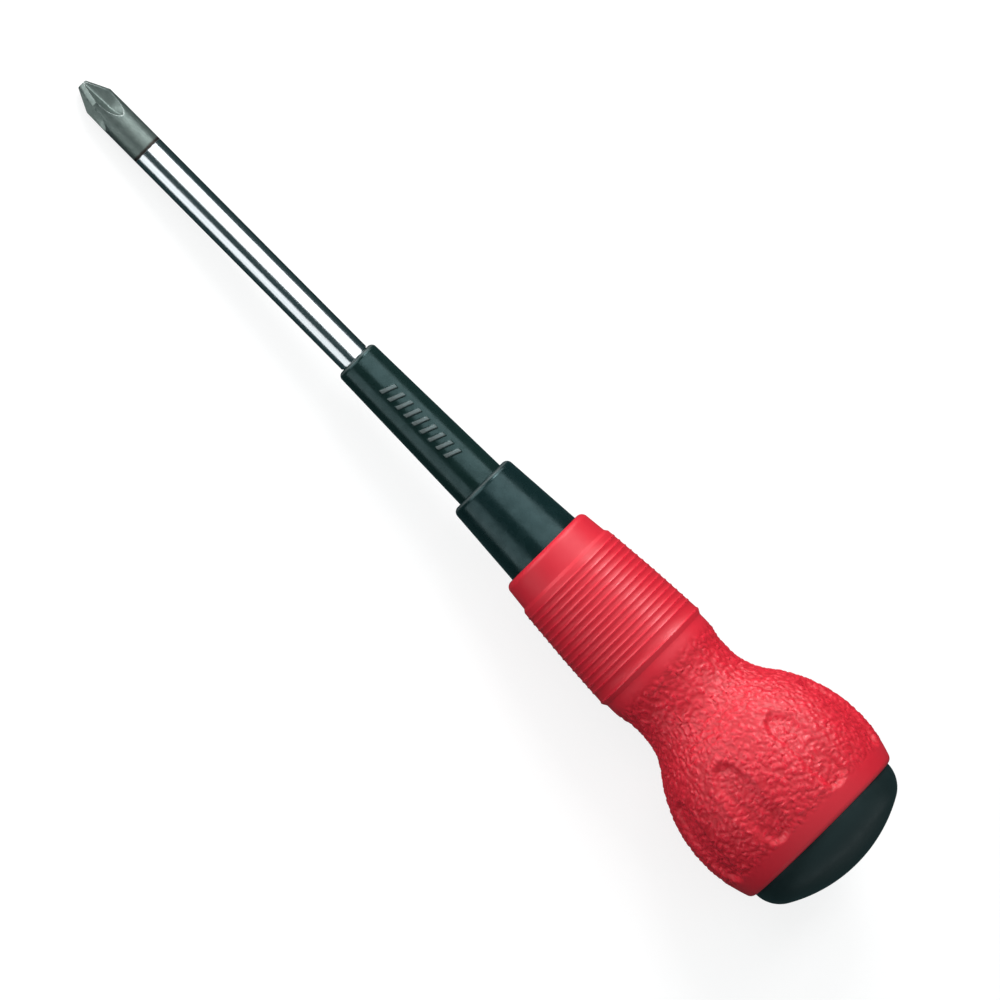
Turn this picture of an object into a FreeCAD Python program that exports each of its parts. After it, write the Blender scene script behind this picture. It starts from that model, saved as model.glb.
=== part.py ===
import FreeCAD, Part
import math
import os

# A ball-handled screwdriver lying along +X, in millimetres. The origin is the middle of the
# blade's blunt nose, +X runs along the tool's axis towards the end cap, and +Z is up.

# Blade: a 6 mm steel rod with a number 2 cross tip, a snap groove and a winged tang.
ROD_R = 3.0
NOSE_R = 0.9
TIP_TAPER_DEG = 26.5
TAPER_END_X = (ROD_R - NOSE_R) / math.tan(math.radians(TIP_TAPER_DEG))
BLADE_END_X = 166.0
TANG_CHAMFER = 0.6

# The four flutes between the wings of the tip, as a V-edged grinding wheel leaves them.
FLUTE_COUNT = 4
FLUTE_HALF_ANGLE_DEG = 53.0
FLUTE_FLOOR_DEG = 5.75
FLUTE_FLOOR_R = 0.55
FLUTE_BOTTOM_ROUND = 0.5
FLUTE_RUNOUT_X = 6.0
FLUTE_WHEEL_R = 6.8
FLUTE_RUNOUT_DEG = 60.0
FLUTE_OPEN_HEIGHT = 4.0

# The groove that keeps the sleeve from sliding along the rod.
SNAP_GROOVE_X0 = 68.4
SNAP_GROOVE_X1 = 70.0
SNAP_GROOVE_R = 2.8

# The tang's flattened wings, one pair across Z and one pair across Y, which carry the torque.
WING_LENGTH = 11.0
WING_HALF_SPAN = 4.4
WING_HALF_THICKNESS = 0.9
WING_RAMP = 1.6
WING_PAIRS = ((137.0, 0.0), (151.0, 90.0))

# Sleeve: a tapered moulded tube that turns freely on the rod.
SLEEVE_X0 = 68.6
SLEEVE_FRONT_R = 4.2
SLEEVE_REAR_R = 4.95
SLEEVE_CORNER = 1.0
SLEEVE_BORE_R = 3.07
SNAP_LIP_R = 2.88
SNAP_LIP_X1 = 69.6
SNAP_LIP_RAMP = 0.2
SLEEVE_END_GAP = 0.3

# A row of plain slanted bars moulded on the sleeve.
BAR_COUNT = 9
BAR_FIRST_X = 76.6
BAR_LAST_X = 92.6
BAR_WIDTH = 0.8
BAR_HEIGHT = 2.8
BAR_LEAN = 0.55
BAR_PROUD = 0.25
BAR_SUNK = 0.4
BAR_TURN_DEG = 20.0

# Collar: the ferrule on the core's nose, with a pocket that the sleeve's rear end runs in.
COLLAR_X0 = 100.0
COLLAR_FRONT_R = 6.68
COLLAR_REAR_R = 7.8
COLLAR_CORNER = 1.2
COLLAR_POCKET_R = 5.25
COLLAR_POCKET_LIP = 0.25
COLLAR_STOP_X = 110.0
COLLAR_SOCKET_X = 112.0
COLLAR_TAIL_R = 7.2
COLLAR_END_X = 121.0

# Core: the hard inner handle moulded round the tang.
CORE_NOSE_R = 6.0
CORE_BARREL_R = 8.0
CORE_BARREL_END_X = 144.0
CORE_NECK_R = 7.0
CORE_NECK_X0 = 147.0
CORE_NECK_X1 = 154.0
CORE_BALL_X0 = 166.0
CORE_BALL_R0 = 13.5
CORE_BALL_X1 = 178.0
CORE_BALL_R1 = 15.0
CORE_REAR_R = 14.0
CORE_BLEND = 6.0
RING_GROOVE_X = (125.0, 131.0, 137.0)
RING_GROOVE_WIDTH = 2.5
RING_GROOVE_DEPTH = 0.7
KEY_SLOT_COUNT = 6
KEY_SLOT_X0 = 158.0
KEY_SLOT_WIDTH = 3.0
KEY_SLOT_FLOOR_R = 12.6
CAP_BORE_R = 9.0
CAP_BORE_X0 = 172.0

# Grip: the soft overmoulded cover, a ribbed barrel, a neck and a ball.
GRIP_X0 = 116.0
GRIP_CORNER = 1.3
BAND_FRONT_R = 9.4
BAND_REAR_X = 121.1
BAND_REAR_R = 9.95
BARREL_X0 = 121.7
BARREL_R0 = 10.4
BARREL_MID_X = 132.1
BARREL_MID_R = 11.3
BARREL_END_X = 142.7
BARREL_END_R = 11.95
BARREL_EDGE = 0.35
RIB_COUNT = 14
RIB_FIRST_X = 123.0
RIB_PITCH = 1.33
RIB_WIDTH = 0.74
RIB_HEIGHT = 0.12
SHOULDER_X0 = 143.6
SHOULDER_X1 = 144.5
SHOULDER_R = 11.55
NECK_X0 = 150.6
NECK_X1 = 151.7
NECK_R = 10.8
NECK_CURVE_R = 12.0
BALL_R = 19.2
BALL_CURVE_R = 27.0
REAR_X = 185.8
REAR_EDGE = 1.3

# The shallow oval scoops round the ball.
SCOOP_COUNT = 8
SCOOP_X = 173.2
SCOOP_DEPTH = 0.9
SCOOP_TUBE_R = 15.0
SCOOP_BEND_R = 78.0
SCOOP_WINDOW = 24.0

# End cap: a domed cap whose skirt snaps into the core's rear bore.
CAP_R = 16.45
CAP_HEIGHT = 8.8
CAP_EDGE_CURVE_R = 6.0
SKIRT_X0 = 174.0
SKIRT_INNER_R = 6.8
SKIRT_CHAMFER = 0.6
CAP_CAVITY_X1 = 190.6
CAP_CAVITY_ROUND = 2.5
BARB_X0 = 177.0
BARB_LENGTH = 1.6
BARB_HEIGHT = 0.4

ORIGIN = FreeCAD.Vector(0, 0, 0)
ALONG = FreeCAD.Vector(1, 0, 0)
ACROSS = FreeCAD.Vector(0, 1, 0)
UP = FreeCAD.Vector(0, 0, 1)


def point(x, r):
    return FreeCAD.Vector(x, r, 0)


class Outline:
    """A closed outline in the half plane of x along the axis and r away from it."""

    def __init__(self, x, r):
        self.start = point(x, r)
        self.here = self.start
        self.edges = []

    def line(self, x, r):
        end = point(x, r)
        self.edges.append(Part.LineSegment(self.here, end).toShape())
        self.here = end

    def arc(self, centre_x, centre_r, x, r):
        """The shorter arc about a centre, from here to (x, r)."""
        centre = point(centre_x, centre_r)
        end = point(x, r)
        towards_middle = (self.here - centre) + (end - centre)
        towards_middle.normalize()
        middle = centre + towards_middle * (end - centre).Length
        self.edges.append(Part.Arc(self.here, middle, end).toShape())
        self.here = end

    def corner(self, x, r, radius, next_x, next_r):
        """A line towards the corner (x, r), rounded on the way to the next point."""
        tip = point(x, r)
        back = self.here - tip
        ahead = point(next_x, next_r) - tip
        back.normalize()
        ahead.normalize()
        half = back.getAngle(ahead) / 2
        cut = radius / math.tan(half)
        inwards = back + ahead
        inwards.normalize()
        centre = tip + inwards * (radius / math.sin(half))
        first = tip + back * cut
        last = tip + ahead * cut
        self.line(first.x, first.y)
        self.arc(centre.x, centre.y, last.x, last.y)

    def dome_to_axis(self, height, edge_curve_r):
        """A dome from here to the axis: a tight curve at its edge, then a tangent crown."""
        x, r = self.here.x, self.here.y
        edge_r = r - edge_curve_r
        crown_curve_r = (height ** 2 + edge_r ** 2 - edge_curve_r ** 2) / (2 * (height - edge_curve_r))
        crown_x = x + height - crown_curve_r
        share = crown_curve_r / (crown_curve_r - edge_curve_r)
        self.arc(x, edge_r, crown_x + (x - crown_x) * share, edge_r * share)
        self.arc(crown_x, 0, x + height, 0)

    def turned(self):
        """The solid that the outline makes when it is turned about the axis."""
        if (self.here - self.start).Length > 1e-7:
            self.line(self.start.x, self.start.y)
        face = Part.Face(Part.Wire(self.edges))
        return face.revolve(ORIGIN, ALONG, 360)


def cylinder(x0, x1, radius):
    return Part.makeCylinder(radius, x1 - x0, point(x0, 0), ALONG)


def around_axis(shape, count):
    """Copies of a shape, evenly spaced about the axis."""
    copies = []
    for number in range(count):
        copy = shape.copy()
        copy.rotate(ORIGIN, ALONG, 360 * number / count)
        copies.append(copy)
    return copies


# ---- blade ----------------------------------------------------------------------------------


def plain_rod():
    outline = Outline(0, 0)
    outline.line(0, NOSE_R)
    outline.line(TAPER_END_X, ROD_R)
    outline.line(SNAP_GROOVE_X0, ROD_R)
    outline.line(SNAP_GROOVE_X0, SNAP_GROOVE_R)
    outline.line(SNAP_GROOVE_X1, SNAP_GROOVE_R)
    outline.line(SNAP_GROOVE_X1, ROD_R)
    outline.line(BLADE_END_X - TANG_CHAMFER, ROD_R)
    outline.line(BLADE_END_X, ROD_R - TANG_CHAMFER)
    outline.line(BLADE_END_X, 0)
    return outline.turned()


def flute_section():
    """The V section of a flute, vertex rounded, in the plane across X with its vertex at the origin."""
    half = math.radians(FLUTE_HALF_ANGLE_DEG)
    side = FLUTE_BOTTOM_ROUND / math.tan(half)
    sink = FLUTE_BOTTOM_ROUND / math.sin(half) - FLUTE_BOTTOM_ROUND
    top_half_width = FLUTE_OPEN_HEIGHT * math.tan(half)
    left_low = FreeCAD.Vector(0, -side * math.sin(half), side * math.cos(half))
    right_low = FreeCAD.Vector(0, side * math.sin(half), side * math.cos(half))
    bottom = FreeCAD.Vector(0, 0, sink)
    left_top = FreeCAD.Vector(0, -top_half_width, FLUTE_OPEN_HEIGHT)
    right_top = FreeCAD.Vector(0, top_half_width, FLUTE_OPEN_HEIGHT)
    edges = [
        Part.LineSegment(left_top, left_low).toShape(),
        Part.Arc(left_low, bottom, right_low).toShape(),
        Part.LineSegment(right_low, right_top).toShape(),
        Part.LineSegment(right_top, left_top).toShape(),
    ]
    return Part.Face(Part.Wire(edges))


def flute_cutter():
    """The path of the grinding wheel: a straight run along the floor, then the wheel's own curve."""
    floor = math.radians(FLUTE_FLOOR_DEG)
    section = flute_section()
    section.rotate(ORIGIN, ACROSS, -FLUTE_FLOOR_DEG)
    runout_r = FLUTE_FLOOR_R + FLUTE_RUNOUT_X * math.tan(floor)
    section.translate(FreeCAD.Vector(FLUTE_RUNOUT_X, 0, runout_r))
    run = FLUTE_RUNOUT_X + 2
    straight = section.extrude(FreeCAD.Vector(-run, 0, -run * math.tan(floor)))
    wheel_axle = FreeCAD.Vector(
        FLUTE_RUNOUT_X - FLUTE_WHEEL_R * math.sin(floor), 0, runout_r + FLUTE_WHEEL_R * math.cos(floor)
    )
    runout = section.revolve(wheel_axle, ACROSS, -FLUTE_RUNOUT_DEG)
    return straight.fuse(runout)


def tang_wings(x0, turn):
    """One pair of flattened wings, ramped at both ends."""
    x1 = x0 + WING_LENGTH
    half_outline = (
        (x0, 0.9 * ROD_R),
        (x0 + WING_RAMP, WING_HALF_SPAN),
        (x1 - WING_RAMP, WING_HALF_SPAN),
        (x1, 0.9 * ROD_R),
    )
    corners = [FreeCAD.Vector(x, y, -WING_HALF_THICKNESS) for x, y in half_outline]
    corners += [FreeCAD.Vector(x, -y, -WING_HALF_THICKNESS) for x, y in reversed(half_outline)]
    plate = Part.Face(Part.makePolygon(corners + corners[:1])).extrude(UP * (2 * WING_HALF_THICKNESS))
    plate.rotate(ORIGIN, ALONG, turn)
    return plate


def blade():
    rod = plain_rod()
    for cutter in around_axis(flute_cutter(), FLUTE_COUNT):
        rod = rod.cut(cutter)
    wings = [tang_wings(x0, turn) for x0, turn in WING_PAIRS]
    return rod.fuse(wings).removeSplitter()


# ---- sleeve ---------------------------------------------------------------------------------


def sleeve_radius(x):
    """The sleeve's outer radius along its tapered stretch."""
    return SLEEVE_FRONT_R + (SLEEVE_REAR_R - SLEEVE_FRONT_R) * (x - SLEEVE_X0) / (COLLAR_X0 - SLEEVE_X0)


def sleeve_tube():
    rear_x = COLLAR_STOP_X - SLEEVE_END_GAP
    outline = Outline(SLEEVE_X0, SNAP_LIP_R)
    outline.corner(SLEEVE_X0, SLEEVE_FRONT_R, SLEEVE_CORNER, COLLAR_X0, SLEEVE_REAR_R)
    outline.line(COLLAR_X0, SLEEVE_REAR_R)
    outline.line(rear_x, SLEEVE_REAR_R)
    outline.line(rear_x, SLEEVE_BORE_R)
    outline.line(SNAP_LIP_X1 + SNAP_LIP_RAMP, SLEEVE_BORE_R)
    outline.line(SNAP_LIP_X1, SNAP_LIP_R)
    return outline.turned()


def bar_shell():
    """The thin layer of the sleeve's surface that the bars stand in."""
    x0 = BAR_FIRST_X - BAR_HEIGHT
    x1 = BAR_LAST_X + BAR_HEIGHT
    outline = Outline(x0, sleeve_radius(x0) - BAR_SUNK)
    outline.line(x1, sleeve_radius(x1) - BAR_SUNK)
    outline.line(x1, sleeve_radius(x1) + BAR_PROUD)
    outline.line(x0, sleeve_radius(x0) + BAR_PROUD)
    return outline.turned()


def bar_prism(x):
    """One slanted bar, standing straight up through the sleeve's top surface."""
    half_width = BAR_WIDTH / 2
    half_height = BAR_HEIGHT / 2
    corners = [
        FreeCAD.Vector(x - half_width - BAR_LEAN, -half_height, ROD_R),
        FreeCAD.Vector(x + half_width - BAR_LEAN, -half_height, ROD_R),
        FreeCAD.Vector(x + half_width + BAR_LEAN, half_height, ROD_R),
        FreeCAD.Vector(x - half_width + BAR_LEAN, half_height, ROD_R),
    ]
    return Part.Face(Part.makePolygon(corners + corners[:1])).extrude(UP * ROD_R)


def shaft_sleeve():
    step = (BAR_LAST_X - BAR_FIRST_X) / (BAR_COUNT - 1)
    prisms = Part.Compound([bar_prism(BAR_FIRST_X + step * number) for number in range(BAR_COUNT)])
    bars = bar_shell().common(prisms)
    bars.rotate(ORIGIN, ALONG, BAR_TURN_DEG)
    return sleeve_tube().fuse(bars.Solids)


# ---- collar ---------------------------------------------------------------------------------


def collar_blank():
    """The collar's outside, with nothing bored through it."""
    outline = Outline(COLLAR_X0, 0)
    outline.corner(COLLAR_X0, COLLAR_FRONT_R, COLLAR_CORNER, GRIP_X0, COLLAR_REAR_R)
    outline.line(GRIP_X0, COLLAR_REAR_R)
    outline.line(GRIP_X0, COLLAR_TAIL_R)
    outline.line(COLLAR_END_X, COLLAR_TAIL_R)
    outline.line(COLLAR_END_X, 0)
    return outline.turned()


def collar_pocket():
    """The sleeve's pocket, with a small chamfer at its mouth."""
    outline = Outline(COLLAR_X0, 0)
    outline.line(COLLAR_X0, COLLAR_POCKET_R + COLLAR_POCKET_LIP)
    outline.line(COLLAR_X0 + COLLAR_POCKET_LIP, COLLAR_POCKET_R)
    outline.line(COLLAR_STOP_X, COLLAR_POCKET_R)
    outline.line(COLLAR_STOP_X, 0)
    return outline.turned()


def front_collar():
    bores = [
        collar_pocket(),
        cylinder(COLLAR_STOP_X, COLLAR_SOCKET_X, ROD_R),
        cylinder(COLLAR_SOCKET_X, COLLAR_END_X, CORE_NOSE_R),
    ]
    return collar_blank().cut(bores)


# ---- core -----------------------------------------------------------------------------------


def core_turning():
    outline = Outline(COLLAR_SOCKET_X, 0)
    outline.line(COLLAR_SOCKET_X, CORE_NOSE_R)
    outline.line(COLLAR_END_X, CORE_NOSE_R)
    outline.line(COLLAR_END_X, CORE_BARREL_R)
    for groove_x in RING_GROOVE_X:
        outline.line(groove_x, CORE_BARREL_R)
        outline.line(groove_x, CORE_BARREL_R - RING_GROOVE_DEPTH)
        outline.line(groove_x + RING_GROOVE_WIDTH, CORE_BARREL_R - RING_GROOVE_DEPTH)
        outline.line(groove_x + RING_GROOVE_WIDTH, CORE_BARREL_R)
    outline.line(CORE_BARREL_END_X, CORE_BARREL_R)
    outline.line(CORE_NECK_X0, CORE_NECK_R)
    outline.corner(CORE_NECK_X1, CORE_NECK_R, CORE_BLEND, CORE_BALL_X0, CORE_BALL_R0)
    outline.corner(CORE_BALL_X0, CORE_BALL_R0, CORE_BLEND, CORE_BALL_X1, CORE_BALL_R1)
    outline.line(CORE_BALL_X1, CORE_BALL_R1)
    outline.line(REAR_X, CORE_REAR_R)
    outline.line(REAR_X, 0)
    return outline.turned()


def key_slot():
    """One lengthwise slot that the soft cover fills, so that it can't turn on the core."""
    length = REAR_X - KEY_SLOT_X0
    corner = FreeCAD.Vector(KEY_SLOT_X0, -KEY_SLOT_WIDTH / 2, KEY_SLOT_FLOOR_R)
    return Part.makeBox(length, KEY_SLOT_WIDTH, CORE_BALL_R1, corner)


def core_blank():
    """The core's outside, with nothing bored into it."""
    return core_turning().cut(around_axis(key_slot(), KEY_SLOT_COUNT))


def cap_barb():
    """The ring on the cap's skirt that snaps into the same groove in the core's bore."""
    outline = Outline(BARB_X0, SKIRT_INNER_R + 1)
    outline.line(BARB_X0, CAP_BORE_R)
    outline.line(BARB_X0 + BARB_LENGTH / 2, CAP_BORE_R + BARB_HEIGHT)
    outline.line(BARB_X0 + BARB_LENGTH, CAP_BORE_R)
    outline.line(BARB_X0 + BARB_LENGTH, SKIRT_INNER_R + 1)
    return outline.turned()


def handle_core(steel):
    bore = cylinder(CAP_BORE_X0, REAR_X, CAP_BORE_R)
    return core_blank().cut([steel, bore, cap_barb()])


# ---- grip -----------------------------------------------------------------------------------


def barrel_radius(x):
    """The ribbed barrel's radius between its ribs: two straight tapers."""
    if x < BARREL_MID_X:
        share = (x - BARREL_X0) / (BARREL_MID_X - BARREL_X0)
        return BARREL_R0 + (BARREL_MID_R - BARREL_R0) * share
    share = (x - BARREL_MID_X) / (BARREL_END_X - BARREL_MID_X)
    return BARREL_MID_R + (BARREL_END_R - BARREL_MID_R) * share


def add_rib(outline, x):
    """One low rounded rib, centred at x."""
    x0 = x - RIB_WIDTH / 2
    x1 = x + RIB_WIDTH / 2
    outline.line(x0, barrel_radius(x0))
    curve_r = (RIB_WIDTH ** 2 / 4 + RIB_HEIGHT ** 2) / (2 * RIB_HEIGHT)
    centre_r = barrel_radius(x) + RIB_HEIGHT - curve_r
    start = outline.here
    end = point(x1, barrel_radius(x1))
    top = point(x, centre_r + curve_r)
    outline.edges.append(Part.Arc(start, top, end).toShape())
    outline.here = end


def add_barrel(outline):
    outline.line(BAND_REAR_X, BAND_REAR_R)
    outline.line(BARREL_X0, BARREL_R0)
    for number in range(RIB_COUNT):
        add_rib(outline, RIB_FIRST_X + RIB_PITCH * number)
    outline.corner(BARREL_END_X, BARREL_END_R, BARREL_EDGE, SHOULDER_X0, SHOULDER_R)
    outline.line(SHOULDER_X0, SHOULDER_R)


def add_neck_and_ball(outline):
    """The shoulder's convex curve, the neck's concave one and the ball's convex one, all tangent."""
    outline.line(SHOULDER_X1, SHOULDER_R)
    neck_r = NECK_R + NECK_CURVE_R
    run = NECK_X0 - SHOULDER_X1
    drop = SHOULDER_R - NECK_R
    shoulder_curve_r = (run ** 2 / drop + drop) / 2 - NECK_CURVE_R
    shoulder_r = SHOULDER_R - shoulder_curve_r
    share = NECK_CURVE_R / (NECK_CURVE_R + shoulder_curve_r)
    join_x = NECK_X0 + (SHOULDER_X1 - NECK_X0) * share
    join_r = neck_r + (shoulder_r - neck_r) * share
    outline.arc(SHOULDER_X1, shoulder_r, join_x, join_r)
    outline.arc(NECK_X0, neck_r, NECK_X0, NECK_R)
    outline.line(NECK_X1, NECK_R)
    ball_x, ball_r = ball_centre()
    share = NECK_CURVE_R / (NECK_CURVE_R + BALL_CURVE_R)
    join_x = NECK_X1 + (ball_x - NECK_X1) * share
    join_r = neck_r + (ball_r - neck_r) * share
    outline.arc(NECK_X1, neck_r, join_x, join_r)
    edge_x = REAR_X - REAR_EDGE
    edge_r = ball_r + math.sqrt((BALL_CURVE_R - REAR_EDGE) ** 2 - (edge_x - ball_x) ** 2)
    share = BALL_CURVE_R / (BALL_CURVE_R - REAR_EDGE)
    outline.arc(ball_x, ball_r, ball_x + (edge_x - ball_x) * share, ball_r + (edge_r - ball_r) * share)
    outline.arc(edge_x, edge_r, REAR_X, edge_r)


def ball_centre():
    """The centre of the ball's curve, in x and r; the curve is wider than the ball, so r is negative."""
    ball_r = BALL_R - BALL_CURVE_R
    rise = NECK_R + NECK_CURVE_R - ball_r
    reach = NECK_CURVE_R + BALL_CURVE_R
    return NECK_X1 + math.sqrt(reach ** 2 - rise ** 2), ball_r


def grip_blank():
    outline = Outline(GRIP_X0, 0)
    outline.corner(GRIP_X0, BAND_FRONT_R, GRIP_CORNER, BAND_REAR_X, BAND_REAR_R)
    add_barrel(outline)
    add_neck_and_ball(outline)
    outline.line(REAR_X, 0)
    return outline.turned()


def scoop_cutter():
    """A large bent tube that dips into the ball's top, less curved than the ball along the axis."""
    ball_x, ball_r = ball_centre()
    lean = math.asin((SCOOP_X - ball_x) / BALL_CURVE_R)
    reach = SCOOP_BEND_R - SCOOP_TUBE_R + SCOOP_DEPTH - BALL_CURVE_R
    centre = FreeCAD.Vector(ball_x - reach * math.sin(lean), 0, ball_r - reach * math.cos(lean))
    tube = Part.makeTorus(SCOOP_BEND_R, SCOOP_TUBE_R, centre, ACROSS)
    low_corner = FreeCAD.Vector(SCOOP_X - SCOOP_WINDOW / 2, -SCOOP_WINDOW / 2, BALL_R / 2)
    window = Part.makeBox(SCOOP_WINDOW, SCOOP_WINDOW, SCOOP_WINDOW, low_corner)
    return tube.common(window)


def grip():
    body = grip_blank().cut([collar_blank(), core_blank()])
    for cutter in around_axis(scoop_cutter(), SCOOP_COUNT):
        body = body.cut(cutter)
    return body


# ---- end cap --------------------------------------------------------------------------------


def cap_turning():
    outline = Outline(SKIRT_X0, SKIRT_INNER_R)
    outline.line(SKIRT_X0, CAP_BORE_R - SKIRT_CHAMFER)
    outline.line(SKIRT_X0 + SKIRT_CHAMFER, CAP_BORE_R)
    outline.line(REAR_X, CAP_BORE_R)
    outline.line(REAR_X, CAP_R)
    outline.dome_to_axis(CAP_HEIGHT, CAP_EDGE_CURVE_R)
    outline.line(CAP_CAVITY_X1, 0)
    outline.corner(CAP_CAVITY_X1, SKIRT_INNER_R, CAP_CAVITY_ROUND, SKIRT_X0, SKIRT_INNER_R)
    return outline.turned()


def end_cap():
    return cap_turning().fuse(cap_barb()).removeSplitter()


def main():
    steel = blade()
    pieces = {
        "blade": steel,
        "shaft_sleeve": shaft_sleeve(),
        "front_collar": front_collar(),
        "handle_core": handle_core(steel),
        "grip": grip(),
        "end_cap": end_cap(),
    }
    os.makedirs("parts", exist_ok=True)
    for name, shape in pieces.items():
        solids = shape.Solids
        if len(solids) != 1 or not shape.isValid():
            print("CHECK", name, len(solids), "solids, valid:", shape.isValid())
        solids[0].exportStep(f"parts/{name}.step")
        print(f"{name:14s} {solids[0].Volume:10.1f} mm3, {len(solids[0].Faces)} faces")


main()
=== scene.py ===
import math

import bpy
import numpy as np
from mathutils import Matrix, Vector, noise


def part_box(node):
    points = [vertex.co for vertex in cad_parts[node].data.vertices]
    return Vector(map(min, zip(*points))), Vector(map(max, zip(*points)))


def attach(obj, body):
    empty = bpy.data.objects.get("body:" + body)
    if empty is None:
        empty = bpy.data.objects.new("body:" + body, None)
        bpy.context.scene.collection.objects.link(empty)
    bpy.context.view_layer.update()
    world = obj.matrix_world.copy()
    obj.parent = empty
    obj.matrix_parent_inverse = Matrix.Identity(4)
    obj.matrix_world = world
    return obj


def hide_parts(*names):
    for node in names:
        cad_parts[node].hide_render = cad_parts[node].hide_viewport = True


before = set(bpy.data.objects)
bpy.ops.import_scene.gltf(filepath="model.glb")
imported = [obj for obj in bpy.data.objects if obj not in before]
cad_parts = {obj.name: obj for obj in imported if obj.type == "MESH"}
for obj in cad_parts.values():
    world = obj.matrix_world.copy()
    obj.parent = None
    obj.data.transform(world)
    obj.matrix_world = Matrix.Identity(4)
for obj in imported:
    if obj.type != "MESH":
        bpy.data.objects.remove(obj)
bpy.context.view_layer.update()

# The looks of a ball-handled screwdriver. Every piece made here is a surface turned about the X
# axis, drawn from an outline of (x, r) points in millimetres. Its flutes, bars, ribs, scoops and
# grain are real relief. Each point of a mesh also carries a tone, which tells the material how
# worn, glossy or raised the surface is there; on the grip a low tone paints shade into the
# creases and between the ribs, and on the sleeve and collar a high tone paints a highlight.

MM = 0.001


def front_x(node):
    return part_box(node)[0][0] / MM


def rear_x(node):
    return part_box(node)[1][0] / MM


# Stations along the axis, from the frame.
BLADE_END_X = rear_x("blade")
SLEEVE_X0 = front_x("shaft_sleeve")
SLEEVE_X1 = rear_x("shaft_sleeve")
COLLAR_X0 = front_x("front_collar")
COLLAR_X1 = rear_x("front_collar")
CORE_X0 = front_x("handle_core")
GRIP_X0 = front_x("grip")
REAR_X = rear_x("grip")
SKIRT_X0 = front_x("end_cap")
CAP_END_X = rear_x("end_cap")

# Blade.
ROD_R = 3.0
NOSE_R = 0.9
TAPER_END_X = 4.21
SNAP_GROOVE_X0 = 68.4
SNAP_GROOVE_X1 = 70.0
SNAP_GROOVE_R = 2.8
TANG_CHAMFER = 0.6
FLUTE_SLOPE = math.tan(math.radians(53.0))
FLUTE_FLOOR_RISE = math.tan(math.radians(5.75))
FLUTE_FLOOR_R = 0.55
FLUTE_ROUNDING = 0.22
FLUTE_RUNOUT_X = 6.0
FLUTE_END_X = 10.4
FLUTE_WHEEL_R = 6.8
OXIDE_END_X = 16.6

# The rings of the blade's tip, and the tone of its worn places.
BLADE_COLUMNS = 192
NOSE_RING_SHARES = (0.3, 0.65, 0.9)
NOSE_TONE = 0.6
NOSE_EDGE_X = 0.05
NOSE_EDGE_TONE = 0.8
TIP_X0 = 0.13
TIP_STEP = 0.09
RIDGE_WIDTH = 0.12

# Sleeve.
SLEEVE_COLUMNS = 240
SLEEVE_FRONT_R = 4.2
SLEEVE_REAR_R = 4.95
SLEEVE_CORNER = 1.0
SLEEVE_BORE_R = 3.07
SNAP_LIP_R = 2.88
SNAP_LIP_LENGTH = 1.0
BAR_COUNT = 9
BAR_FIRST_X = 76.6
BAR_LAST_X = 92.6
BAR_MARGIN = 1.5
BAR_HALF_WIDTH = 0.4
BAR_HALF_HEIGHT = 1.4
BAR_LEAN = 0.55
BAR_PROUD = 0.25
BAR_INNER_EDGE = -0.08
BAR_OUTER_EDGE = 0.06
BAR_TURN = math.radians(20.0)

# Collar.
COLLAR_COLUMNS = 144
COLLAR_FRONT_R = 6.68
COLLAR_REAR_R = 7.8
COLLAR_CORNER = 1.2
COLLAR_POCKET_R = 5.25
COLLAR_POCKET_LIP = 0.15
COLLAR_MOUTH_R = COLLAR_POCKET_R + COLLAR_POCKET_LIP
COLLAR_STOP_X = 110.0
COLLAR_TAIL_R = 7.2
CORE_NOSE_R = 6.0

# The front corners of the sleeve and the collar, where the tone paints a highlight.
RIM_X = 0.33
RIM_WIDTH = 0.28
RIM_GLINT_TONE = 0.7

# Grip: the plain band, the ribbed barrel, the bead and the shoulder.
GRIP_COLUMNS = 456
GRIP_CORNER = 1.3
BAND_FRONT_R = 9.4
BAND_REAR_X = 121.1
BAND_REAR_R = 9.95
BAND_REAR_ROUND = 0.3
BARREL_X0 = 121.7
BARREL_R0 = 10.4
BARREL_FRONT_ROUND = 0.2
BARREL_MID_X = 132.1
BARREL_MID_R = 11.3
BARREL_END_X = 142.7
BARREL_END_R = 11.95
BEAD_WIDTH = 0.42
BEAD_HEIGHT = 0.12
BEAD_EDGE = 0.14
RIB_COUNT = 14
RIB_FIRST_X = 123.0
RIB_PITCH = 1.33
RIB_WIDTH = 0.62
RIB_HEIGHT = 0.12
RIB_POINTS = 7
RIB_FULLNESS = 1.3
SHOULDER_X0 = 143.6
SHOULDER_X1 = 144.5
SHOULDER_R = 11.55
SHOULDER_ROUND = 0.3

# Grip: the neck and the ball.
NECK_X0 = 150.6
NECK_X1 = 151.7
NECK_R = 10.8
NECK_CURVE_R = 12.0
BALL_R = 19.2
BALL_CURVE_R = 27.0
REAR_EDGE = 1.3
COLUMNS_DOUBLE_X = NECK_X1 + 3
COLUMNS_HALVE_R = 15.6

# The tones of the grip where it has no grain; the low one between the ribs paints shade there.
PLAIN_TONE = 0.5
RIB_GAP_SHADE_TONE = 0.36
RIB_TONE_RISE = 0.5

# The grip's inside, which lies on the core: x, radius and spacing of points, from rear to front.
GRIP_INSIDE_R = 14.0
GRIP_INSIDE = (
    (178.0, 15.0, 2.0),
    (166.0, 13.5, 2.0),
    (154.0, 7.0, 2.0),
    (147.0, 7.0, 4.0),
    (144.0, 8.0, 4.0),
    (COLLAR_X1, 8.0, 4.0),
)

# How far apart two touching walls are kept, so that they don't lie in the same place.
HAIR = 0.02

# Scoops round the ball.
SCOOP_COUNT = 8
SCOOP_X = 173.2
SCOOP_HALF_LENGTH = 9.1
SCOOP_HALF_WIDTH = 4.0
SCOOP_DEPTH = 0.8
SCOOP_SQUARENESS = 2.4
SCOOP_WALL = 1.15
SCOOP_SIDE_EASE = 1.2
SCOOP_LIP = -0.1

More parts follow.
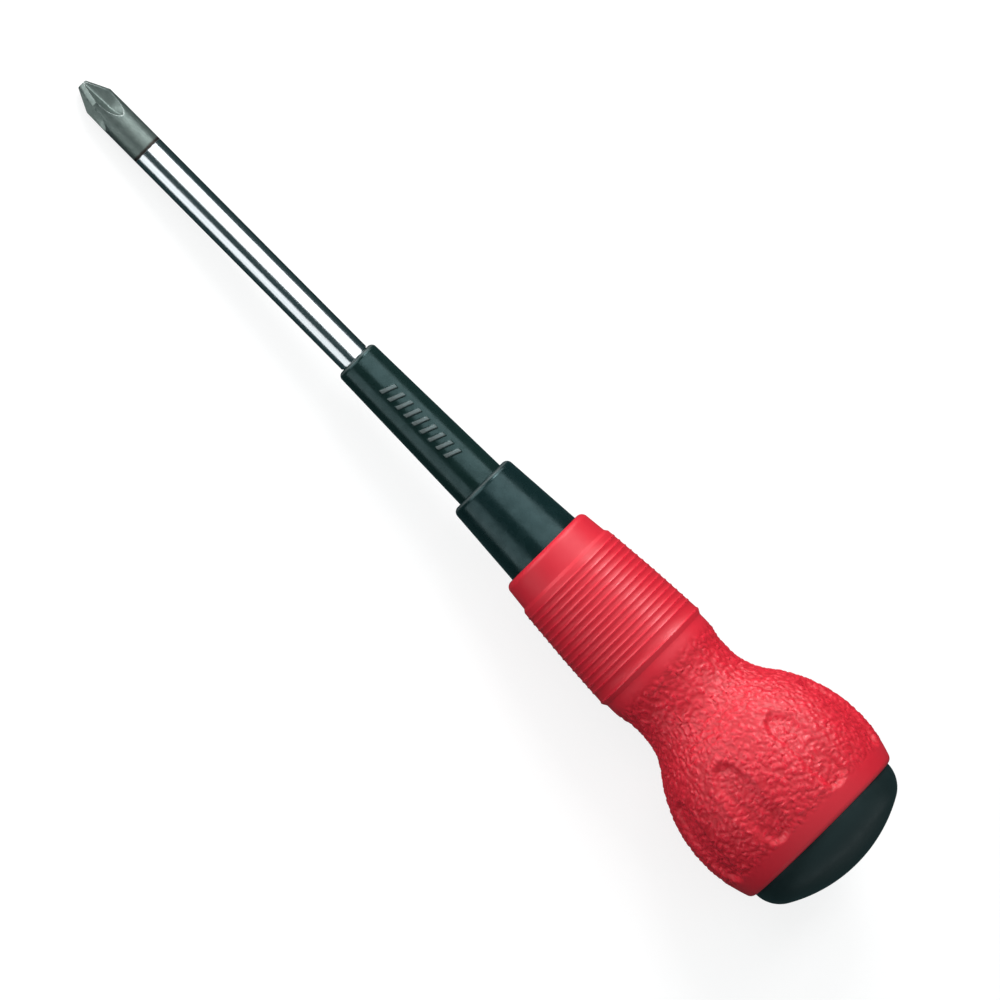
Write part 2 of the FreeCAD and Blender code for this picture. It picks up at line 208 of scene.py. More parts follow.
# Leather grain: warped cells with domed tops, and wrinkles across them.
GRAIN_X0 = 146.0
GRAIN_X1 = 182.6
GRAIN_FADE = 1.2
GRAIN_CELL = 1.2
GRAIN_HEIGHT = 0.34
GRAIN_SHIFTS = (Vector((0, 0, 0)), Vector((9.3, -1.5, -8.1)), Vector((-5.7, 6.3, 2.2)))
GRAIN_WARP_SCALE = 0.8
GRAIN_WARP = 0.6
GRAIN_BORDER_POWER = 8
GRAIN_DOME_POWER = 2.2
GRAIN_WRINKLE_SCALE = 1.6
GRAIN_WRINKLE_WIDTH = 0.17
GRAIN_PEBBLE_SHARE = 0.7
GRAIN_WRINKLE_SHARE = 0.3

# End cap.
CAP_COLUMNS = 160
CAP_SKIRT_R = 9.0
CAP_SKIRT_INNER_R = 6.8
CAP_CAVITY_X1 = 190.6
CAP_CAVITY_FIRST_R = 0.5
CAP_EDGE_CURVE_R = 6.0
CAP_LAST_R = 0.2
CAP_LAST_DROP = 0.001

# Spacing of points along curves, along straight stretches and round tight corners.
FINE = 0.26
PLAIN = 0.8
EDGE = 0.12

# Edges that turn more than this stay sharp.
SHARP_TURN = math.radians(40.0)


# ---- outlines and turned meshes ---------------------------------------------------------------


class Outline:
    """Points along an outline of (x, r), in the order that the surface is drawn."""

    def __init__(self, x, r):
        self.points = [(x, r)]

    def line(self, x, r, step=PLAIN):
        x0, r0 = self.points[-1]
        count = max(1, round(math.hypot(x - x0, r - r0) / step))
        for number in range(1, count + 1):
            share = number / count
            self.points.append((x0 + (x - x0) * share, r0 + (r - r0) * share))

    def arc(self, centre_x, centre_r, x, r, step=FINE):
        """The shorter arc about a centre, to (x, r)."""
        x0, r0 = self.points[-1]
        radius = math.hypot(x - centre_x, r - centre_r)
        start = math.atan2(r0 - centre_r, x0 - centre_x)
        turn = math.atan2(r - centre_r, x - centre_x) - start
        turn = (turn + math.pi) % (2 * math.pi) - math.pi
        count = max(2, round(abs(turn) * radius / step))
        for number in range(1, count + 1):
            angle = start + turn * number / count
            self.points.append(
                (centre_x + radius * math.cos(angle), centre_r + radius * math.sin(angle))
            )

    def corner(self, x, r, radius, next_x, next_r):
        """A line towards the corner (x, r), rounded on the way to the next point."""
        tip = Vector((x, r))
        back = (Vector(self.points[-1]) - tip).normalized()
        ahead = (Vector((next_x, next_r)) - tip).normalized()
        half = back.angle(ahead) / 2
        cut = radius / math.tan(half)
        centre = tip + (back + ahead).normalized() * (radius / math.sin(half))
        first = tip + back * cut
        last = tip + ahead * cut
        self.line(first.x, first.y)
        self.arc(centre.x, centre.y, last.x, last.y, EDGE)


class Turning:
    """A closed surface of rings about the X axis. Angle 0 is up, and a quarter turn is +Y."""

    def __init__(self):
        self.rings = []
        self.points = []
        self.tones = []
        self.faces = []
        self.total = 0

    def ring(self, x, radius, columns, tone=0.0):
        """x, radius and tone are one number or an array with one number for each column."""
        angle = angles(columns)
        radius = np.broadcast_to(radius, columns)
        xs = np.broadcast_to(x, columns)
        self.add(np.column_stack([xs, radius * np.sin(angle), radius * np.cos(angle)]), tone)

    def pole(self, x):
        """A single point on the axis, which closes an end."""
        self.add(np.array([[x, 0.0, 0.0]]), 0.0)

    def add(self, points, tone):
        count = len(points)
        if self.rings:
            self.join(self.rings[-1], (self.total, count))
        self.rings.append((self.total, count))
        self.points.append(points)
        self.tones.append(np.broadcast_to(tone, count))
        self.total += count

    def close(self):
        """Joins the last ring to the first one, for a piece with a hole through it."""
        self.join(self.rings[-1], self.rings[0])

    def join(self, near, far):
        """Faces between two rings, each given as its first point's number and its columns.

        Either ring may be a pole. Otherwise the columns are equal in number, doubled or halved.
        """
        a, n = near
        b, m = far
        j = np.arange(max(1, min(n, m)))
        k = (j + 1) % len(j)
        if m == 1:
            j = np.arange(n)
            self.add_faces(a + j, np.full(n, b), a + (j + 1) % n)
        elif n == 1:
            j = np.arange(m)
            self.add_faces(np.full(m, a), b + j, b + (j + 1) % m)
        elif n == m:
            self.add_faces(a + j, b + j, b + k, a + k)
        elif m == 2 * n:
            self.add_faces(a + j, b + 2 * j, b + 2 * j + 1)
            self.add_faces(a + j, b + 2 * j + 1, a + k)
            self.add_faces(a + k, b + 2 * j + 1, b + 2 * k)
        elif n == 2 * m:
            self.add_faces(a + 2 * j, b + j, a + 2 * j + 1)
            self.add_faces(a + 2 * j + 1, b + j, b + k)
            self.add_faces(a + 2 * j + 1, b + k, a + 2 * k)

    def add_faces(self, *corners):
        self.faces += np.column_stack(corners).tolist()

    def outline(self, points, columns):
        for x, r in points:
            self.ring(x, r, columns)

    def build(self, name, material, body, node):
        """The mesh object, riding on its body and standing for its CAD node."""
        mesh = bpy.data.meshes.new(name)
        mesh.from_pydata((np.vstack(self.points) * MM).tolist(), [], self.faces)
        tone = mesh.attributes.new("tone", "FLOAT", "POINT")
        tone.data.foreach_set("value", np.concatenate(self.tones).astype(np.float32))
        mesh.shade_smooth()
        mesh.set_sharp_from_angle(angle=SHARP_TURN)
        mesh.materials.append(material)
        piece = bpy.data.objects.new(name, mesh)
        bpy.context.scene.collection.objects.link(piece)
        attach(piece, body)
        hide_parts(node)
        return piece


def angles(columns):
    return np.arange(columns) * (2 * math.pi / columns)


def smooth(value, low, high):
    """0 below low, 1 above high, and a smooth rise between."""
    share = np.clip((np.asarray(value, float) - low) / (high - low), 0, 1)
    return share * share * (3 - 2 * share)


def outline_normals(points):
    """The outward normal at each point of an outline drawn towards +X on the outside."""
    points = np.asarray(points)
    along = np.gradient(points, axis=0)
    along /= np.linalg.norm(along, axis=1)[:, None]
    return np.column_stack([-along[:, 1], along[:, 0]])


# ---- blade ------------------------------------------------------------------------------------


def flute_radius(x, angle):
    """How far from the axis the flutes leave steel, as a V-edged grinding wheel cuts them.

    The wheel runs along the flute's sloping floor, and then its own curve runs out of the rod.
    Where a flute doesn't cut, the answer is infinity.
    """
    off = np.abs((angle + math.pi / 4) % (math.pi / 2) - math.pi / 4)
    side = np.sin(off) / FLUTE_SLOPE
    if x < FLUTE_RUNOUT_X:
        floor = FLUTE_FLOOR_R + x * FLUTE_FLOOR_RISE
        side = np.hypot(side, FLUTE_ROUNDING / floor)
        room = np.cos(off) - side
        least_room = 0.02
        return np.where(room > least_room, floor / np.maximum(room, least_room), np.inf)
    tilt = math.atan(FLUTE_FLOOR_RISE)
    runout_r = FLUTE_FLOOR_R + FLUTE_RUNOUT_X * FLUTE_FLOOR_RISE
    axle_r = runout_r + FLUTE_WHEEL_R * math.cos(tilt)
    reach = x - (FLUTE_RUNOUT_X - FLUTE_WHEEL_R * math.sin(tilt))
    side = np.hypot(side, FLUTE_ROUNDING / runout_r)
    square = np.cos(off) ** 2 - side ** 2
    half = axle_r * np.cos(off) - FLUTE_WHEEL_R * side
    rest = axle_r ** 2 + reach ** 2 - FLUTE_WHEEL_R ** 2
    inside = half ** 2 - square * rest
    least_square = 1e-6
    safe = np.where(np.abs(square) > least_square, square, least_square)
    root = (half - np.sqrt(np.maximum(inside, 0))) / safe
    return np.where((inside > 0) & (root > 0), root, np.inf)


def rod_radius(x):
    return min(ROD_R, NOSE_R + (ROD_R - NOSE_R) * x / TAPER_END_X)


def make_blade(material):
    """The rod with its cross tip. The tone is how worn the nose and the tip's ridges are."""
    turning = Turning()
    turning.pole(0)
    angle = angles(BLADE_COLUMNS)
    for share in NOSE_RING_SHARES:
        radius = np.minimum(NOSE_R * share, flute_radius(0, angle))
        turning.ring(0, radius, BLADE_COLUMNS, NOSE_TONE)
    radius = np.minimum(NOSE_R, flute_radius(NOSE_EDGE_X, angle))
    turning.ring(NOSE_EDGE_X, radius, BLADE_COLUMNS, NOSE_EDGE_TONE)
    for x in np.arange(TIP_X0, FLUTE_END_X, TIP_STEP):
        plain = rod_radius(x)
        cut = flute_radius(x, angle)
        ridge = np.exp(-((plain - cut) / RIDGE_WIDTH) ** 2) * (cut < 2 * plain)
        turning.ring(x, np.minimum(plain, cut), BLADE_COLUMNS, ridge)
    outline = Outline(FLUTE_END_X + 0.1, ROD_R)
    outline.line(SNAP_GROOVE_X0 - 0.3, ROD_R, step=2.0)
    outline.line(SNAP_GROOVE_X0, ROD_R)
    outline.line(SNAP_GROOVE_X0, SNAP_GROOVE_R)
    outline.line(SNAP_GROOVE_X1, SNAP_GROOVE_R)
    outline.line(SNAP_GROOVE_X1, ROD_R)
    outline.line(BLADE_END_X - TANG_CHAMFER, ROD_R, step=6.0)
    outline.line(BLADE_END_X, ROD_R - TANG_CHAMFER)
    turning.outline(outline.points, BLADE_COLUMNS)
    turning.pole(BLADE_END_X)
    return turning.build("blade_steel", material, "driver", "blade")


# ---- sleeve -----------------------------------------------------------------------------------


def bar_relief(x, r, angle):
    """The height of the slanted bars above the sleeve's surface."""
    off = (angle + BAR_TURN + math.pi) % (2 * math.pi) - math.pi
    across = r * off
    step = (BAR_LAST_X - BAR_FIRST_X) / (BAR_COUNT - 1)
    leaned = x - BAR_FIRST_X - BAR_LEAN * across / BAR_HALF_HEIGHT
    nearest = np.clip(np.round(leaned / step), 0, BAR_COUNT - 1)
    along = np.abs(leaned - nearest * step)
    edge = np.maximum(along - BAR_HALF_WIDTH, np.abs(across) - BAR_HALF_HEIGHT)
    return BAR_PROUD * (1 - smooth(edge, BAR_INNER_EDGE, BAR_OUTER_EDGE))


def rim_glint(past_face):
    """How much painted highlight a front corner gets, at a distance behind the front face."""
    return RIM_GLINT_TONE * math.exp(-((past_face - RIM_X) / RIM_WIDTH) ** 2)


def make_sleeve(material):
    """The tapered tube. Its tone marks the bars and the front corner, for a painted highlight."""
    outline = Outline(SLEEVE_X0, SNAP_LIP_R)
    outline.corner(SLEEVE_X0, SLEEVE_FRONT_R, SLEEVE_CORNER, COLLAR_X0, SLEEVE_REAR_R)
    slope = (SLEEVE_REAR_R - SLEEVE_FRONT_R) / (COLLAR_X0 - SLEEVE_X0)
    bars_x0 = BAR_FIRST_X - BAR_MARGIN
    bars_x1 = BAR_LAST_X + BAR_MARGIN
    for x, step in ((bars_x0, PLAIN), (bars_x1, EDGE), (COLLAR_X0, PLAIN)):
        outline.line(x, SLEEVE_FRONT_R + slope * (x - SLEEVE_X0), step)
    outline.line(SLEEVE_X1, SLEEVE_REAR_R, step=2.0)
    turning = Turning()
    angle = angles(SLEEVE_COLUMNS)
    for x, r in outline.points:
        has_bars = bars_x0 < x < bars_x1
        relief = bar_relief(x, r, angle) if has_bars else np.zeros(SLEEVE_COLUMNS)
        # The tone carries a painted highlight on the bars and on the front corner.
        tone = relief / BAR_PROUD + rim_glint(x - SLEEVE_X0)
        turning.ring(x, r + relief, SLEEVE_COLUMNS, tone)
    inside = Outline(SLEEVE_X1, SLEEVE_BORE_R)
    inside.line(SLEEVE_X0 + SNAP_LIP_LENGTH, SLEEVE_BORE_R, step=8.0)
    inside.line(SLEEVE_X0 + SNAP_LIP_LENGTH, SNAP_LIP_R)
    turning.outline(inside.points, SLEEVE_COLUMNS)
    turning.close()
    return turning.build("sleeve_tube", material, "sleeve", "shaft_sleeve")


# ---- collar -----------------------------------------------------------------------------------


def make_collar(material):
    """The ferrule with its pocket and socket. Its tone marks the front corner for a painted
    highlight.
    """
    outline = Outline(COLLAR_X0, COLLAR_MOUTH_R)
    outline.corner(COLLAR_X0, COLLAR_FRONT_R, COLLAR_CORNER, GRIP_X0, COLLAR_REAR_R)
    outline.line(GRIP_X0, COLLAR_REAR_R)
    outline.line(GRIP_X0, COLLAR_TAIL_R)
    outline.line(COLLAR_X1, COLLAR_TAIL_R)
    outline.line(COLLAR_X1, CORE_NOSE_R)
    outline.line(CORE_X0, CORE_NOSE_R, step=3.0)
    outline.line(CORE_X0, ROD_R)
    outline.line(COLLAR_STOP_X, ROD_R)
    outline.line(COLLAR_STOP_X, COLLAR_POCKET_R)
    outline.line(COLLAR_X0 + COLLAR_POCKET_LIP, COLLAR_POCKET_R, step=3.0)
    turning = Turning()
    for x, r in outline.points:
        # The tone carries a painted highlight on the front corner.
        tone = rim_glint(x - COLLAR_X0) if r > COLLAR_MOUTH_R else 0.0
        turning.ring(x, r, COLLAR_COLUMNS, tone)
    turning.close()
    return turning.build("collar_ferrule", material, "driver", "front_collar")


# ---- grip -------------------------------------------------------------------------------------


def barrel_radius(x):
    """The ribbed barrel's radius between its ribs: two straight tapers."""
    stations = (BARREL_X0, BARREL_MID_X, BARREL_END_X)
    return float(np.interp(x, stations, (BARREL_R0, BARREL_MID_R, BARREL_END_R)))


def front_outline():
    """The front face, the plain band, the ribbed barrel, the bead at its end and the shoulder."""
    outline = Outline(GRIP_X0, COLLAR_REAR_R + HAIR)
    outline.corner(GRIP_X0, BAND_FRONT_R, GRIP_CORNER, BAND_REAR_X, BAND_REAR_R)
    outline.corner(BAND_REAR_X, BAND_REAR_R, BAND_REAR_ROUND, BARREL_X0, BARREL_R0)
    first_rib_r = barrel_radius(RIB_FIRST_X)
    outline.corner(BARREL_X0, BARREL_R0, BARREL_FRONT_ROUND, RIB_FIRST_X, first_rib_r)
    for number in range(RIB_COUNT):
        middle = RIB_FIRST_X + RIB_PITCH * number
        for share in np.linspace(-0.5, 0.5, RIB_POINTS):
            x = middle + RIB_WIDTH * share
            rise = RIB_HEIGHT * math.cos(math.pi * share) ** RIB_FULLNESS
            outline.points.append((x, barrel_radius(x) + rise))
    bead_x = BARREL_END_X - BEAD_WIDTH
    outline.line(bead_x, barrel_radius(bead_x))
    outline.line(bead_x + BEAD_EDGE, barrel_radius(bead_x) + BEAD_HEIGHT)
    bead_r = BARREL_END_R + BEAD_HEIGHT
    outline.corner(BARREL_END_X, bead_r, BEAD_EDGE, SHOULDER_X0, SHOULDER_R)
    outline.corner(SHOULDER_X0, SHOULDER_R, SHOULDER_ROUND, SHOULDER_X1, SHOULDER_R)
    outline.line(SHOULDER_X1, SHOULDER_R)
    return outline.points


def front_tone(x, r):
    """The plain tone, or on the ribs: lower between them for painted shade, higher and glossier on
    top.
    """
    if not RIB_FIRST_X - RIB_PITCH / 2 < x < BARREL_END_X:
        return PLAIN_TONE
    return RIB_GAP_SHADE_TONE + RIB_TONE_RISE * min(1.0, (r - barrel_radius(x)) / RIB_HEIGHT)


def ball_centre():
    """The centre of the ball's curve, in x and r; it is past the axis, so r is negative."""
    ball_r = BALL_R - BALL_CURVE_R
    rise = NECK_R + NECK_CURVE_R - ball_r
    reach = NECK_CURVE_R + BALL_CURVE_R
    return NECK_X1 + math.sqrt(reach ** 2 - rise ** 2), ball_r


def ball_outline():
    """The shoulder's convex curve, the neck's concave one, the ball's convex one, its rear edge."""
    neck_r = NECK_R + NECK_CURVE_R
    run = NECK_X0 - SHOULDER_X1
    drop = SHOULDER_R - NECK_R
    shoulder_curve_r = (run ** 2 / drop + drop) / 2 - NECK_CURVE_R
    shoulder_r = SHOULDER_R - shoulder_curve_r
    share = NECK_CURVE_R / (NECK_CURVE_R + shoulder_curve_r)
    join_x = NECK_X0 + (SHOULDER_X1 - NECK_X0) * share
    join_r = neck_r + (shoulder_r - neck_r) * share
    outline = Outline(SHOULDER_X1, SHOULDER_R)
    outline.arc(SHOULDER_X1, shoulder_r, join_x, join_r)
    outline.arc(NECK_X0, neck_r, NECK_X0, NECK_R)
    outline.line(NECK_X1, NECK_R, FINE)
    ball_x, ball_r = ball_centre()
    share = NECK_CURVE_R / (NECK_CURVE_R + BALL_CURVE_R)
    join_x = NECK_X1 + (ball_x - NECK_X1) * share
    join_r = neck_r + (ball_r - neck_r) * share
    outline.arc(NECK_X1, neck_r, join_x, join_r)
    edge_x = REAR_X - REAR_EDGE
    edge_r = ball_r + math.sqrt((BALL_CURVE_R - REAR_EDGE) ** 2 - (edge_x - ball_x) ** 2)
    share = BALL_CURVE_R / (BALL_CURVE_R - REAR_EDGE)
    join_x = ball_x + (edge_x - ball_x) * share
    join_r = ball_r + (edge_r - ball_r) * share
    outline.arc(ball_x, ball_r, join_x, join_r)
    outline.arc(edge_x, edge_r, REAR_X, edge_r, EDGE)
    return outline.points


def scoop_depth(x, r, angle):
    """How deep the scoops go: rounded ovals with a flat floor, steep ends and softer long sides."""
    tiny = 1e-12
    pitch = 2 * math.pi / SCOOP_COUNT
    off = (angle + pitch / 2) % pitch - pitch / 2
    along = np.abs(x - SCOOP_X) / SCOOP_HALF_LENGTH
    across = np.abs(r * off) / SCOOP_HALF_WIDTH
    power = SCOOP_SQUARENESS
    rim = (along ** power + across ** power) ** (1 / power)
    steepness = np.hypot(
        along ** (power - 1) / SCOOP_HALF_LENGTH, across ** (power - 1) / SCOOP_HALF_WIDTH
    )
    inside = (1 - rim) * rim ** (power - 1) / (steepness + tiny)
    sideways = across ** 2 / (along ** 2 + across ** 2 + tiny)
    wall = SCOOP_WALL * (1 + SCOOP_SIDE_EASE * sideways)
    return SCOOP_DEPTH * smooth(inside / wall, SCOOP_LIP, 1.0)


def pebbles(points):
    """Leather grain at each point, 0 in the creases and 1 on the wrinkled pebbles' tops."""
    heights = np.empty(len(points))
    for number, place in enumerate(points / GRAIN_CELL):
        spot = Vector(place)
        warp = [noise.noise(spot * GRAIN_WARP_SCALE + shift) for shift in GRAIN_SHIFTS]
        spot += Vector(warp) * GRAIN_WARP
        near, *others = noise.voronoi(spot)[0]
        closeness = sum(distance ** -GRAIN_BORDER_POWER for distance in others)
        border = closeness ** (-1 / GRAIN_BORDER_POWER)
        pebble = 1 - min(1.0, near / border) ** GRAIN_DOME_POWER
        fold = noise.noise(spot * GRAIN_WRINKLE_SCALE) / GRAIN_WRINKLE_WIDTH
        wrinkle = 1 - math.exp(-fold ** 2)
        heights[number] = GRAIN_PEBBLE_SHARE * pebble + GRAIN_WRINKLE_SHARE * wrinkle
    return heights


def add_grained(turning, points, normals, columns):
    """The rings of the neck and ball, with the scoops and the grain along the surface's normal."""
    angle = angles(columns)
    for (x, r), (out_x, out_r) in zip(points, normals):
        fade = float(smooth(x, GRAIN_X0 - GRAIN_FADE, GRAIN_X0 + GRAIN_FADE))
        fade *= 1 - float(smooth(x, GRAIN_X1 - GRAIN_FADE, GRAIN_X1))
        ring = np.column_stack([np.full(columns, x), r * np.sin(angle), r * np.cos(angle)])
        grain = pebbles(ring) if fade > 0 else np.full(columns, 0.5)
        lift = GRAIN_HEIGHT * fade * (grain - 0.5) - scoop_depth(x, r, angle)
        # The tone is low in the grain's creases, where it paints shade, and high on the pebbles'
        # tops, which it makes glossier.
        tone = PLAIN_TONE + fade * (grain - 0.5)
        turning.ring(x + out_x * lift, r + out_r * lift, columns, tone)


def grip_inside():
    """The cover's inner wall, from the ball's open rear forwards to the collar."""
    inside = Outline(REAR_X, GRIP_INSIDE_R)
    for x, r, step in GRIP_INSIDE:
        inside.line(x, r, step)
    inside.line(COLLAR_X1, COLLAR_TAIL_R + HAIR)
    inside.line(GRIP_X0 + HAIR, COLLAR_TAIL_R + HAIR, step=4.0)
    return inside.points


def make_grip(material):
    """The soft cover. Its rings have the most columns on the ball and the fewest at the front."""
    turning = Turning()
    half = GRIP_COLUMNS // 2
    quarter = GRIP_COLUMNS // 4
    for x, r in front_outline()[:-1]:
        turning.ring(x, r, quarter, front_tone(x, r))
    points = ball_outline()
    normals = outline_normals(points)
    split = int(np.searchsorted([x for x, r in points], COLUMNS_DOUBLE_X))
    add_grained(turning, points[:split], normals[:split], half)
    add_grained(turning, points[split:], normals[split:], GRIP_COLUMNS)
    turning.ring(REAR_X, COLUMNS_HALVE_R, half, PLAIN_TONE)
    for x, r in grip_inside():
        turning.ring(x, r, quarter, PLAIN_TONE)
    turning.close()
    return turning.build("grip_cover", material, "driver", "grip")


# ---- end cap ----------------------------------------------------------------------------------


def make_cap(material):
    """The dome, a tight curve at its edge and a wide crown, with the hollow skirt in the core."""
    cap_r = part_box("end_cap")[1][1] / MM
    height = CAP_END_X - REAR_X
    edge_r = cap_r - CAP_EDGE_CURVE_R
    square = height ** 2 + edge_r ** 2 - CAP_EDGE_CURVE_R ** 2
    crown_r = square / (2 * (height - CAP_EDGE_CURVE_R))
    crown_x = CAP_END_X - crown_r
    share = crown_r / (crown_r - CAP_EDGE_CURVE_R)
    outline = Outline(CAP_CAVITY_X1, CAP_CAVITY_FIRST_R)
    outline.line(CAP_CAVITY_X1, CAP_SKIRT_INNER_R, step=3.0)
    outline.line(SKIRT_X0, CAP_SKIRT_INNER_R, step=4.0)
    outline.line(SKIRT_X0, CAP_SKIRT_R)
    outline.line(REAR_X, CAP_SKIRT_R, step=4.0)
    outline.line(REAR_X, cap_r, step=3.0)
    outline.arc(REAR_X, edge_r, crown_x + (REAR_X - crown_x) * share, edge_r * share)
    outline.arc(crown_x, 0, CAP_END_X - CAP_LAST_DROP, CAP_LAST_R, step=0.5)
    turning = Turning()
    turning.pole(CAP_CAVITY_X1)
    turning.outline(outline.points, CAP_COLUMNS)
    turning.pole(CAP_END_X)
    return turning.build("cap_dome", material, "driver", "end_cap")


# ---- materials --------------------------------------------------------------------------------


class Finish:
    """A material and the short forms that its nodes are made with.

    The plain roughness and metallic are what a program sees that doesn't read the nodes.
    """

    def __init__(self, name, roughness, metallic=0.0):
        self.material = bpy.data.materials.new(name)
        self.material.use_nodes = True
        self.nodes = self.material.node_tree.nodes
        self.links = self.material.node_tree.links
        self.shader = self.nodes["Principled BSDF"]
        self.shader.inputs["Roughness"].default_value = roughness
        self.shader.inputs["Metallic"].default_value = metallic
        self.place = self.nodes.new("ShaderNodeTexCoord").outputs["Object"]

    def noise(self, scale, detail=3.0):
        """Noise from 0 to 1; scale is in features per metre."""
        node = self.nodes.new("ShaderNodeTexNoise")
        node.inputs["Scale"].default_value = scale
        node.inputs["Detail"].default_value = detail
        node.inputs["Roughness"].default_value = 0.55
        self.links.new(self.place, node.inputs["Vector"])
        return node.outputs["Fac"]

    def stretched_noise(self, scales):
        """Noise drawn out along an axis: scales are features per metre along X, Y and Z."""
        mapping = self.nodes.new("ShaderNodeMapping")
        mapping.inputs["Scale"].default_value = scales
        self.links.new(self.place, mapping.inputs["Vector"])
        node = self.nodes.new("ShaderNodeTexNoise")
        node.inputs["Scale"].default_value = 1.0
        node.inputs["Detail"].default_value = 2.0
        self.links.new(mapping.outputs["Vector"], node.inputs["Vector"])
        return node.outputs["Fac"]

    def tone(self):
        """The tone that the mesh carries at each point."""
        node = self.nodes.new("ShaderNodeAttribute")
        node.attribute_name = "tone"
        return node.outputs["Fac"]

    def axis_x(self):
        """The distance along the tool's axis, in metres."""
        node = self.nodes.new("ShaderNodeSeparateXYZ")
        self.links.new(self.place, node.inputs[0])
        return node.outputs["X"]

    def ranged(self, value, low, high, to_low, to_high):
        """A smooth change from to_low to to_high, as the value goes from low to high."""
        node = self.nodes.new("ShaderNodeMapRange")
        node.interpolation_type = "SMOOTHSTEP"
        for number, bound in enumerate((low, high, to_low, to_high), start=1):
            node.inputs[number].default_value = bound
        self.links.new(value, node.inputs[0])
        return node.outputs[0]

    def mixed(self, factor, first, second):
        """A colour between two, each of which is a colour or another node's output."""
        node = self.nodes.new("ShaderNodeMix")
        node.data_type = "RGBA"
        self.links.new(factor, node.inputs["Factor"])
        for socket, colour in ((node.inputs[6], first), (node.inputs[7], second)):
            if isinstance(colour, tuple):
                socket.default_value = (*colour, 1.0)
            else:
                self.links.new(colour, socket)
        return node.outputs[2]

    def blended(self, factor, first, second):
        """A number between two other nodes' outputs."""
        node = self.nodes.new("ShaderNodeMix")
        self.links.new(factor, node.inputs[0])
        self.links.new(first, node.inputs[2])
        self.links.new(second, node.inputs[3])
        return node.outputs[0]

    def maths(self, operation, first, second):
        """A sum, difference or product of two other nodes' outputs."""
        node = self.nodes.new("ShaderNodeMath")
        node.operation = operation
        self.links.new(first, node.inputs[0])
        self.links.new(second, node.inputs[1])
        return node.outputs[0]

    def bump(self, height, depth):
        """Fine relief; depth is in metres."""
        node = self.nodes.new("ShaderNodeBump")
        node.inputs["Strength"].default_value = 1.0
        node.inputs["Distance"].default_value = depth
        self.links.new(height, node.inputs["Height"])
        self.links.new(node.outputs[0], self.shader.inputs["Normal"])

    def to(self, socket, value):
        self.links.new(value, self.shader.inputs[socket])


def elastomer():
    """Red soft-touch rubber: satin, a little glossier on the pebbles, painted shade in the creases.
    """
    red, light_red, crease_shade_red = (0.74, 0.016, 0.036), (0.8, 0.022, 0.046), (0.52, 0.004, 0.014)
    finish = Finish("red_elastomer", 0.5)
    clouds = finish.noise(70.0, 2.0)
    body = finish.mixed(clouds, red, light_red)
    # Painted shade: where the tone is low, in the grain's creases and between the ribs, the red
    # turns deeper.
    crease_shade = finish.ranged(finish.tone(), 0.1, 0.75, 0.7, 0.0)
    finish.to("Base Color", finish.mixed(crease_shade, body, crease_shade_red))
    gloss = finish.ranged(finish.tone(), 0.5, 0.85, 0.0, 0.18)
    satin = finish.ranged(finish.noise(900.0), 0.3, 0.7, 0.42, 0.5)
    finish.to("Roughness", finish.maths("SUBTRACT", satin, gloss))
    finish.shader.inputs["Specular IOR Level"].default_value = 0.5
    finish.bump(finish.noise(2600.0, 4.0), 0.00002)
    return finish.material


def black_plastic(name, base, light, roughness=0.26):
    """Satin moulded black plastic, finely spark-eroded, greyer where its tone paints a highlight.
    """
    glint_grey = (0.15, 0.17, 0.17)
    finish = Finish(name, roughness)
    clouds = finish.noise(120.0, 3.0)
    body = finish.mixed(clouds, base, light)
    # Painted highlight: a high tone, on the sleeve's bars and the front corners, turns the black
    # grey.
    painted_glint = finish.ranged(finish.tone(), 0.2, 1.0, 0.0, 0.7)
    finish.to("Base Color", finish.mixed(painted_glint, body, glint_grey))
    smooth_end, rough_end = roughness - 0.04, roughness + 0.05
    finish.to("Roughness", finish.ranged(finish.noise(500.0), 0.3, 0.7, smooth_end, rough_end))
    finish.shader.inputs["Specular IOR Level"].default_value = 0.4
    finish.shader.inputs["Specular Tint"].default_value = (0.6, 0.95, 1.0, 1.0)
    finish.bump(finish.noise(3200.0, 3.0), 0.00001)
    return finish.material


def steel():
    """Bright plating on the rod, and a dark blasted finish on the tip, worn on its ridges."""
    chrome, bare_steel, burnt_brown = (0.5, 0.53, 0.55), (0.55, 0.57, 0.56), (0.035, 0.022, 0.02)
    dark_oxide, light_oxide = (0.12, 0.155, 0.145), (0.21, 0.25, 0.235)
    finish = Finish("chrome_steel", 0.1, 1.0)
    finish.shader.inputs["Specular Tint"].default_value = (0.25, 0.3, 0.3, 1.0)
    wobble = finish.ranged(finish.noise(900.0, 2.0), 0.3, 0.7, -0.05 * MM, 0.05 * MM)
    along = finish.maths("ADD", finish.axis_x(), wobble)
    edge = OXIDE_END_X * MM
    plated = finish.ranged(along, edge - 0.1 * MM, edge + 0.1 * MM, 0.0, 1.0)
    mottle = finish.mixed(finish.noise(1100.0, 4.0), dark_oxide, light_oxide)
    worn = finish.ranged(finish.tone(), 0.25, 0.95, 0.0, 0.3)
    tip = finish.mixed(worn, mottle, bare_steel)
    burnt = finish.ranged(along, edge - 0.8 * MM, edge - 0.35 * MM, 0.0, 0.9)
    tip = finish.mixed(burnt, tip, burnt_brown)
    finish.to("Base Color", finish.mixed(plated, tip, chrome))
    finish.to("Metallic", finish.ranged(plated, 0.0, 1.0, 0.8, 1.0))
    polish = finish.stretched_noise((60.0, 2500.0, 2500.0))
    bright = finish.ranged(polish, 0.3, 0.7, 0.17, 0.23)
    matt = finish.ranged(finish.noise(1500.0), 0.3, 0.7, 0.38, 0.48)
    finish.to("Roughness", finish.blended(plated, matt, bright))
    unplated = finish.ranged(plated, 0.0, 1.0, 1.0, 0.0)
    finish.bump(finish.maths("MULTIPLY", finish.noise(2600.0, 4.0), unplated), 0.00004)
    return finish.material


# ---- stage: floor, light and camera -----------------------------------------------------------

